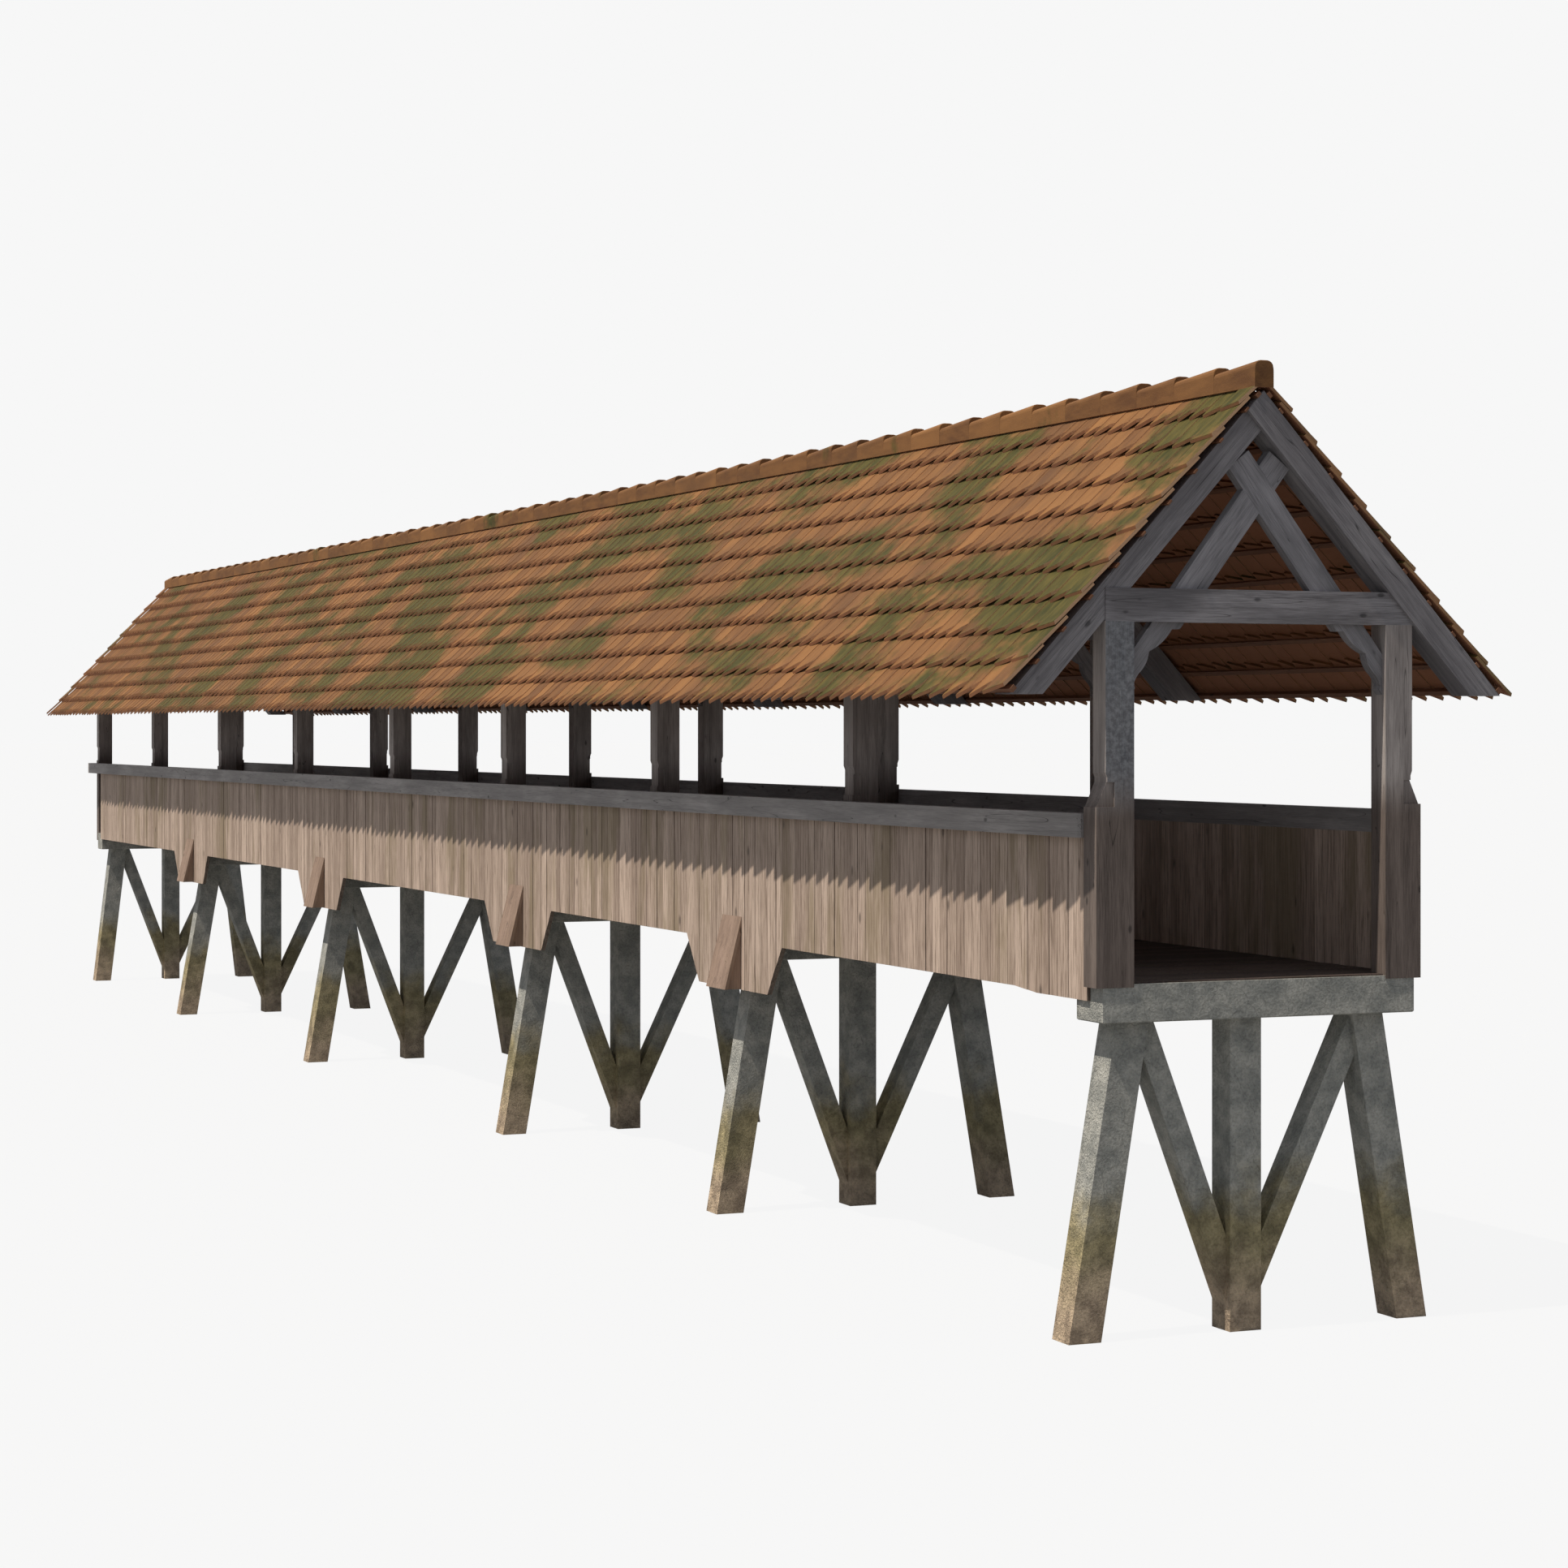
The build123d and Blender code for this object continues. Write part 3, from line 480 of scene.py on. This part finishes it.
def bevelEdges(piece, wanted, width, segments):
    bpy.ops.object.mode_set(mode="EDIT")
    bpy.ops.mesh.select_mode(type="EDGE")
    bpy.ops.mesh.select_all(action="DESELECT")
    bpy.ops.object.mode_set(mode="OBJECT")
    for edge in piece.data.edges:
        a, b = (piece.data.vertices[i].co for i in edge.vertices)
        edge.select = wanted(a, b)
    bpy.ops.object.mode_set(mode="EDIT")
    bpy.ops.mesh.bevel(offset=width, segments=segments, affect="EDGES")
    bpy.ops.object.mode_set(mode="OBJECT")


def copyShaped(model, shape, tint):
    piece = model.copy()
    piece.data = model.data.copy()
    bpy.context.collection.objects.link(piece)
    for vertex in piece.data.vertices:
        vertex.co = shape(vertex.co.copy())
    values = piece.data.attributes.new("tint", "FLOAT", "POINT")
    values.data.foreach_set("value", [tint] * len(piece.data.vertices))
    return piece


def joinPieces(pieces, name, material, turnedOver=False):
    with bpy.context.temp_override(active_object=pieces[0], object=pieces[0],
                                   selected_objects=pieces, selected_editable_objects=pieces):
        bpy.ops.object.join()
    joined = pieces[0]
    joined.name = name
    joined.data.name = name
    joined.data.materials.clear()
    joined.data.materials.append(material)
    if turnedOver:
        joined.data.flip_normals()
    return joined


# Roof tiles: ten courses, each tile a little askew with one tail corner curled up. Metres down the slope from
# the apex, or square to the slope.
tileSizes = {
    "courses": 10,
    "firstTail": 0.265,
    "gauge": 0.28977,
    "lap": 0.105,
    "thickness": 0.022,
    "narrowest": 0.17,
    "widest": 0.27,
    "narrowestLast": 0.10,
    "tailTop": 0.0994,
    "plumb": 0.012,  # the tail is cut back by this much at its top
    "fall": 0.022,  # the head lies lower than the tail
    "raise": 0.030,  # the most that a corner curls up
    "raiseSpread": (0.72, 1.0),
    "curlStart": 0.085,  # the curl begins this far above the tail
    "restShare": 0.14,  # of the curl, kept by the rest of the tile
    "skew": 0.040,
    "skewSpread": (0.75, 1.15),
    "eavesSkew": 1.45,
    "slip": 0.010,
    "ridgeCourseHead": 0.020,
    "headStop": -0.012,  # no head goes further past the apex
    "vergeInset": 0.003,
    "vergeRest": 0.9,  # tiles at the gables lie raised all over
    "vergeHigh": 0.7,
    "vergeSlip": 0.016,
    "worn": 0.003,
}
vergeReach = 0.01  # a tile that ends this close to a gable is a verge tile
tailReach = 0.01  # points this close to a tail belong to its end
farInset = 0.0005


def modelTile(sizes):
    length = sizes["gauge"] + sizes["lap"]
    tile = startPiece("tileModel", (length, 1.0, sizes["thickness"]), (-length / 2, 0.5, sizes["thickness"] / 2))
    top = sizes["thickness"] - hair
    bevelEdges(tile, lambda a, b: a.z > top and b.z > top and a.x > -hair and b.x > -hair, sizes["worn"], 2)
    bpy.ops.object.mode_set(mode="EDIT")
    bpy.ops.mesh.select_all(action="SELECT")
    bpy.ops.mesh.bisect(plane_co=(-sizes["curlStart"], 0, 0), plane_no=(1, 0, 0))
    bpy.ops.object.mode_set(mode="OBJECT")
    return tile


def layTiles(side, name, node, material, sizes):
    model = modelTile(sizes)
    length = sizes["gauge"] + sizes["lap"]
    low = sizes["tailTop"] - sizes["thickness"] - sizes["raise"]
    downX, downZ = side * cos(radians(roofPitch)), -sin(radians(roofPitch))
    outX, outZ = side * sin(radians(roofPitch)), cos(radians(roofPitch))
    pieces = []
    for course in range(sizes["courses"]):
        tail = sizes["firstTail"] + course * sizes["gauge"]
        stretch = 1.0 if course else (tail + sizes["ridgeCourseHead"]) / length
        near = verge["near"] + sizes["vergeInset"]
        while near < verge["far"] - farInset:
            far = near + chance.uniform(sizes["narrowest"], sizes["widest"])
            if far > verge["far"] - sizes["narrowestLast"]:
                far = verge["far"] - farInset
            lift = sizes["raise"] * chance.uniform(*sizes["raiseSpread"])
            slip = chance.uniform(0, sizes["slip"])
            skew = sizes["skew"] * chance.uniform(*sizes["skewSpread"])
            if course == sizes["courses"] - 1:
                skew *= sizes["eavesSkew"]
            atVerge = near < verge["near"] + vergeReach or far > verge["far"] - vergeReach
            rest = sizes["vergeRest"] if atVerge else sizes["restShare"]

            def shape(point):
                high = 1 - point.y if side < 0 else point.y
                down = tail - slip + point.x * stretch - skew * high
                if point.x > -tailReach:
                    down -= sizes["plumb"] * point.z / sizes["thickness"]
                if atVerge:
                    high = max(high, sizes["vergeHigh"])
                    down -= sizes["vergeSlip"]
                down = max(down, sizes["headStop"])
                curl = rest + (1 - rest) * max(0.0, 1 + point.x / sizes["curlStart"])
                out = low + point.z + lift * high * curl + sizes["fall"] * point.x * stretch / sizes["gauge"]
                return Vector((downX * down + outX * out, near + point.y * (far - near),
                               apexHeight + downZ * down + outZ * out))

            pieces.append(copyShaped(model, shape, chance.random()))
            near = far
    bpy.data.objects.remove(model)
    roof = joinPieces(pieces, name, material, turnedOver=side < 0)
    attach(roof, "root")
    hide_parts(node)
    print(name, len(pieces), "tiles,", len(roof.data.polygons), "faces")


layTiles(-1, "roofTilesLeft", "roof_tiles_left", clayLeft, tileSizes)
layTiles(1, "roofTilesRight", "roof_tiles_right", clayRight, tileSizes)

# Ridge tiles: each rounded over the top and falling from its near end to its far end
ridgeSizes = {
    "count": 63,
    "halfWidth": 0.0745,
    "narrowing": 0.98,
    "top": 6.5545,
    "bottom": 6.370,
    "fall": 0.040,
    "round": 0.048,
    "worn": 0.006,
    "wave": 0.006,
    "lean": 0.0006,
    "joint": 0.001,
}


def layRidge(sizes):
    step = (verge["far"] - verge["near"]) / sizes["count"]
    height = sizes["top"] - sizes["bottom"]
    top = height - hair
    model = startPiece("ridgeModel", (2 * sizes["halfWidth"], step - sizes["joint"], height), (0, step / 2, height / 2))
    bevelEdges(model, lambda a, b: a.z > top and b.z > top and abs(a.x - b.x) < hair, sizes["round"], 4)
    bevelEdges(model, lambda a, b: a.y < sizes["joint"] and b.y < sizes["joint"] and a.z + b.z > height,
               sizes["worn"], 2)
    pieces = []
    for index in range(sizes["count"]):
        near = verge["near"] + index * step
        drop = chance.uniform(0, sizes["wave"])
        lean = chance.uniform(-sizes["lean"], sizes["lean"])

        def shape(point):
            share = point.y / step
            sink = (drop + sizes["fall"] * share) * point.z / height
            return Vector((point.x * sizes["narrowing"] + lean * share, near + point.y,
                           sizes["bottom"] + point.z - sink))

        pieces.append(copyShaped(model, shape, chance.random()))
    bpy.data.objects.remove(model)
    ridge = joinPieces(pieces, "ridgeTiles", clayRidge)
    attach(ridge, "root")
    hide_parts("ridge_tiles")
    print("ridgeTiles", len(pieces), "tiles,", len(ridge.data.polygons), "faces")


layRidge(ridgeSizes)

# Boarded walls: upright boards, cut to the outline of the wall and its haunches
wallSizes = {
    "start": -17.1015,
    "end": 16.5695,
    "top": 3.349,
    "bottom": 2.293,
    "dip": 0.027,
    "dipStart": 0.740,
    "dipEnd": 1.070,
    "trestles": (-10.7697, -4.9419, 2.7769, 9.9827),
    "haunchTop": 1.070,
    "haunchFoot": 0.770,
    "haunchDrop": 0.403,
    "board": 0.13,
    "narrowest": 0.105,
    "widest": 0.165,
    "narrowestLast": 0.063,
    "worn": 0.004,
    "uneven": 0.006,
}


def wallBottom(y, sizes):
    run = y - sizes["start"]
    bottom = sizes["bottom"]
    if run < sizes["dipEnd"]:
        bottom -= sizes["dip"] * min(1.0, (sizes["dipEnd"] - run) / (sizes["dipEnd"] - sizes["dipStart"]))
    for middle in sizes["trestles"]:
        reach = abs(y - middle)
        if reach < sizes["haunchTop"]:
            slant = (sizes["haunchTop"] - reach) / (sizes["haunchTop"] - sizes["haunchFoot"])
            bottom -= sizes["haunchDrop"] * min(1.0, slant)
    return bottom


def buildWall(side, name, replaced, sizes):
    height = sizes["top"] - sizes["bottom"]
    model = startPiece("boardModel", (wallThickness, sizes["board"], height),
                       (wallThickness / 2, sizes["board"] / 2, height / 2))
    bevelEdges(model, lambda a, b: abs(a.z - b.z) > height / 2 and a.x > wallThickness / 2, sizes["worn"], 2)
    # Boards end where the outline turns, so that each one's foot is straight
    corners = {sizes["start"], sizes["end"], sizes["start"] + sizes["dipStart"], sizes["start"] + sizes["dipEnd"]}
    for middle in sizes["trestles"]:
        corners |= {middle + sign * sizes[key] for sign in (-1, 1) for key in ("haunchTop", "haunchFoot")}
    corners = sorted(corners)
    pieces = []
    for first, last in zip(corners[:-1], corners[1:]):
        near = first
        while near < last - hair:
            far = near + chance.uniform(sizes["narrowest"], sizes["widest"])
            if far > last - sizes["narrowestLast"]:
                far = last
            setBack = chance.uniform(0, sizes["uneven"])

            def shape(point):
                y = near + point.y / sizes["board"] * (far - near)
                bottom = wallBottom(y, sizes)
                z = bottom + point.z / height * (sizes["top"] - bottom)
                x = wallFace + point.x * (1 - setBack / wallThickness)
                return Vector((side * x, y, z))

            pieces.append(copyShaped(model, shape, chance.random()))
            near = far
    bpy.data.objects.remove(model)
    wall = joinPieces(pieces, name, wallBoards, turnedOver=side < 0)
    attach(wall, "root")
    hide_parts(*replaced)
    print(name, len(pieces), "boards,", len(wall.data.polygons), "faces")


buildWall(-1, "wallBoardsLeft", ("siding_left", "haunches_left"), wallSizes)
buildWall(1, "wallBoardsRight", ("siding_right", "haunches_right"), wallSizes)

# Deck: planks laid across, the first one cut to lie between the first posts
deckSizes = {
    "start": -17.2505,
    "end": 16.9065,
    "top": 2.394,
    "thickness": 0.045,
    "halfWidth": 1.1895,
    "betweenPosts": 0.975,
    "postEnd": -17.1005,
    "pastPost": 0.001,
    "plank": 0.185,
    "plankSpread": (0.85, 1.15),
    "narrowestLast": 0.02,
    "sunk": 0.003,
    "short": 0.006,
    "gap": 0.006,
    "worn": 0.004,
}


def buildDeck(sizes):
    # The model reaches from -1 to 1 across, and each plank is stretched to its half width
    model = startPiece("plankModel", (2.0, sizes["plank"], sizes["thickness"]),
                       (0, sizes["plank"] / 2, sizes["thickness"] / 2))
    top = sizes["thickness"] - hair
    bevelEdges(model, lambda a, b: a.z > top and b.z > top and abs(a.x - b.x) > 1, sizes["worn"], 2)
    pieces = []
    near = sizes["start"]
    while near < sizes["end"] - sizes["narrowestLast"]:
        width = sizes["plank"] * chance.uniform(*sizes["plankSpread"])
        half = sizes["halfWidth"]
        if near < sizes["postEnd"]:
            width = sizes["postEnd"] + sizes["pastPost"] - near
            half = sizes["betweenPosts"]
        far = min(near + width, sizes["end"])
        sunk = chance.uniform(0, sizes["sunk"])
        half -= chance.uniform(0, sizes["short"])

        def shape(point):
            y = near + point.y / sizes["plank"] * (far - near - sizes["gap"])
            z = sizes["top"] - sizes["thickness"] + point.z * (1 - sunk / sizes["thickness"])
            return Vector((point.x * half, y, z))

        pieces.append(copyShaped(model, shape, chance.random()))
        near = far
    bpy.data.objects.remove(model)
    deck = joinPieces(pieces, "deckPlanks", deckBoards)
    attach(deck, "root")
    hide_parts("deck")
    print("deckPlanks", len(pieces), "planks,", len(deck.data.polygons), "faces")


buildDeck(deckSizes)

# Finishes on the members that keep their shape from the frame, by how their names start
nodeFinish = {
    "cap_": trestleStone,
    "legs_": trestleStone,
    "bent_braces_": trestleStone,
    "stringers": stringerTimber,
    "wedge_props_": propTimber,
    "rail_": railTimber,
    "posts_": postTimber,
    "tie_beams": tieTimber,
    "rafters_left": rafterTimberLeft,
    "rafters_right": rafterTimberRight,
    "scissor_braces_left": braceTimberLeft,
    "scissor_braces_right": braceTimberRight,
    "battens_": battenTimber,
}
for nodeName, node in nodes.items():
    for start, material in nodeFinish.items():
        if nodeName.startswith(start):
            for slot in node.material_slots:
                slot.material = material
print("members finished")

# Floor, light and backdrop
stageLook = {
    "floorColour": "#828282",
    "floorRadius": 900,
    "floorGlow": 0.90,
    "glowColour": "#ffffff",
    "background": "#f7f7f7",
    "sunStrength": 3.95,
    "sunTravel": (0.455, 0.04, -0.875),
    "sunSoftness": 0.6,
    "sunColour": "#fff4e6",
    "skyStrength": 0.35,
    "skyColour": "#f1f5ff",
}


# 1 where the camera sees the surface, straight or through a glossy or clear one
def seenDirectly(tree):
    path = addNode(tree, "ShaderNodeLightPath")
    seen = addNode(tree, "ShaderNodeMath", {"operation": "MAXIMUM"},
                   {0: path.outputs["Is Camera Ray"], 1: path.outputs["Is Glossy Ray"]}).outputs[0]
    return addNode(tree, "ShaderNodeMath", {"operation": "MAXIMUM"},
                   {0: seen, 1: path.outputs["Is Transmission Ray"]}).outputs[0]


def setFloor(look):
    bpy.ops.object.select_all(action="DESELECT")
    bpy.ops.mesh.primitive_circle_add(vertices=96, radius=look["floorRadius"], fill_type="NGON", location=(0, 0, 0))
    floor = bpy.context.active_object
    floor.name = "floor"
    material = bpy.data.materials.new("paleFloor")
    material.use_nodes = True
    tree = material.node_tree
    tree.nodes.clear()
    # Seen by the camera the floor is nearly the backdrop's colour and keeps a light shadow
    paint = addNode(tree, "ShaderNodeBsdfDiffuse", {"Color": srgbToLinear(look["floorColour"])})
    glow = addNode(tree, "ShaderNodeEmission", {"Color": srgbToLinear(look["glowColour"])})
    share = addNode(tree, "ShaderNodeMath", {"operation": "MULTIPLY", 1: look["floorGlow"]},
                    {0: seenDirectly(tree)}).outputs[0]
    mixed = addNode(tree, "ShaderNodeMixShader", {}, {0: share, 1: paint.outputs[0], 2: glow.outputs[0]})
    addNode(tree, "ShaderNodeOutputMaterial", {}, {0: mixed.outputs[0]})
    floor.data.materials.append(material)


def setLight(look):
    world = bpy.data.worlds.new("studio")
    bpy.context.scene.world = world
    world.use_nodes = True
    tree = world.node_tree
    tree.nodes.clear()
    sky = addNode(tree, "ShaderNodeBackground",
                  {"Color": srgbToLinear(look["skyColour"]), "Strength": look["skyStrength"]})
    backdrop = addNode(tree, "ShaderNodeBackground", {"Color": srgbToLinear(look["background"]), "Strength": 1.0})
    mixed = addNode(tree, "ShaderNodeMixShader", {}, {0: seenDirectly(tree), 1: sky.outputs[0], 2: backdrop.outputs[0]})
    addNode(tree, "ShaderNodeOutputWorld", {}, {0: mixed.outputs[0]})

    sun = bpy.data.lights.new("sun", "SUN")
    sun.energy = look["sunStrength"]
    sun.angle = radians(look["sunSoftness"])
    sun.color = srgbToLinear(look["sunColour"])[:3]
    lamp = bpy.data.objects.new("sun", sun)
    lamp.rotation_euler = Vector(look["sunTravel"]).to_track_quat("-Z", "Y").to_euler()
    bpy.context.collection.objects.link(lamp)


setFloor(stageLook)
setLight(stageLook)

# Camera: level, at the photograph's angle
cameraPlace = {
    "location": (-11.4995, -36.3882, 4.0752),
    "turn": -22.744,
    "lens": 75.27,
    "sensor": 36,
    "shift": -0.0355,
    "farEnd": 2000,
}
camera = bpy.data.cameras.new("camera")
camera.lens = cameraPlace["lens"]
camera.sensor_width = cameraPlace["sensor"]
camera.shift_y = cameraPlace["shift"]
camera.clip_end = cameraPlace["farEnd"]
viewer = bpy.data.objects.new("camera", camera)
viewer.location = cameraPlace["location"]
viewer.rotation_euler = (radians(90), 0, radians(cameraPlace["turn"]))
bpy.context.collection.objects.link(viewer)
bpy.context.scene.camera = viewer
bpy.context.scene.view_settings.view_transform = "Standard"
print("stage set")
